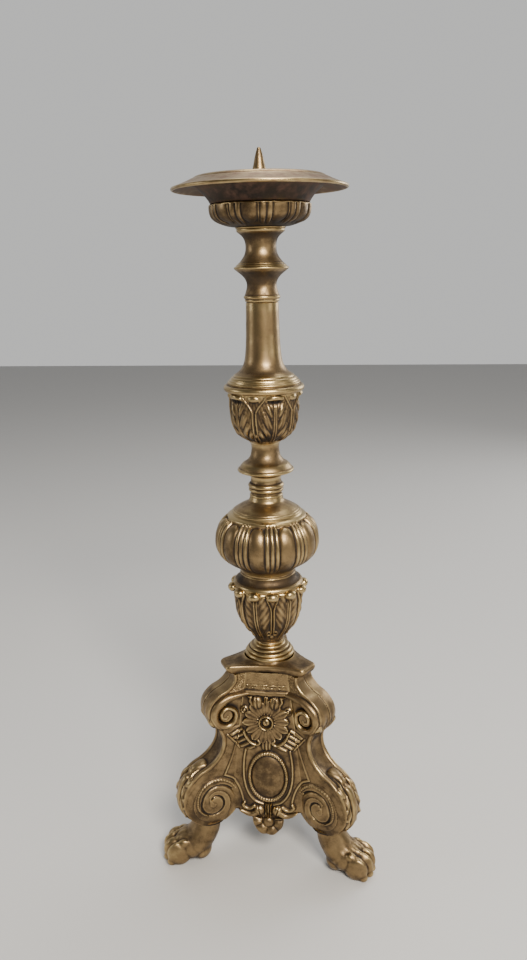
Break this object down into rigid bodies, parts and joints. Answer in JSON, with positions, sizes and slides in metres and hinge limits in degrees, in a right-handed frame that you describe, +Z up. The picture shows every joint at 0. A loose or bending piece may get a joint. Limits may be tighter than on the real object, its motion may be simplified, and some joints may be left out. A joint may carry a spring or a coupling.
{
  "type": "altar candlestick",
  "caption": "Tall brass altar candlestick: spike and drip pan on a lobed, turned stem over a three-sided scrolled base with lion-paw feet.",
  "frame": {"origin": "on the stem's axis, at the level of the surface that the paws stand on", "axes": "+Z up along the stem; the front panel of the three-sided base faces -Y, so one paw points to +Y and the other two to the front left and front right; +X is to the right seen from the front"},
  "size_m": [0.159, 0.1433, 0.5],
  "materials": {
    "cast_brass": "aged satin with dark patina in the recesses",
    "turned_brass": "aged satin, worn bright on the rings",
    "pan_brass": "aged satin, slightly redder underneath",
    "spike_brass": "dull, handled",
    "iron": "dark, slightly rusted"
  },
  "bodies": {
    "stand": {"corner_scroll_left": "cast_brass", "corner_scroll_right": "cast_brass", "corner_scroll_rear": "cast_brass", "side_panel_front": "cast_brass", "side_panel_left": "cast_brass", "side_panel_right": "cast_brass", "paw_left": "cast_brass", "paw_right": "cast_brass", "paw_rear": "cast_brass", "base_cap": "cast_brass", "foot_ring": "turned_brass", "lower_vase": "turned_brass", "waist_collar": "turned_brass", "gadrooned_knop": "turned_brass", "knop_dome": "turned_brass", "neck_ring": "turned_brass", "stem_disc": "turned_brass", "upper_vase": "turned_brass", "vase_lip": "turned_brass", "column": "turned_brass", "top_spool": "turned_brass", "upper_neck": "turned_brass", "cup": "turned_brass", "pricket": "spike_brass", "tie_rod": "iron", "tie_spider": "iron", "tie_washer": "iron", "tie_nut": "iron", "paw_studs": "iron", "cap_dowels": "turned_brass"},
    "pan": {"drip_pan": "pan_brass"}
  },
  "joints": [
    {"name": "pan_lift", "type": "slide", "parent": "stand", "child": "pan", "axis": [0, 0, 1], "range_m": [0, 0.06]}
  ]
}
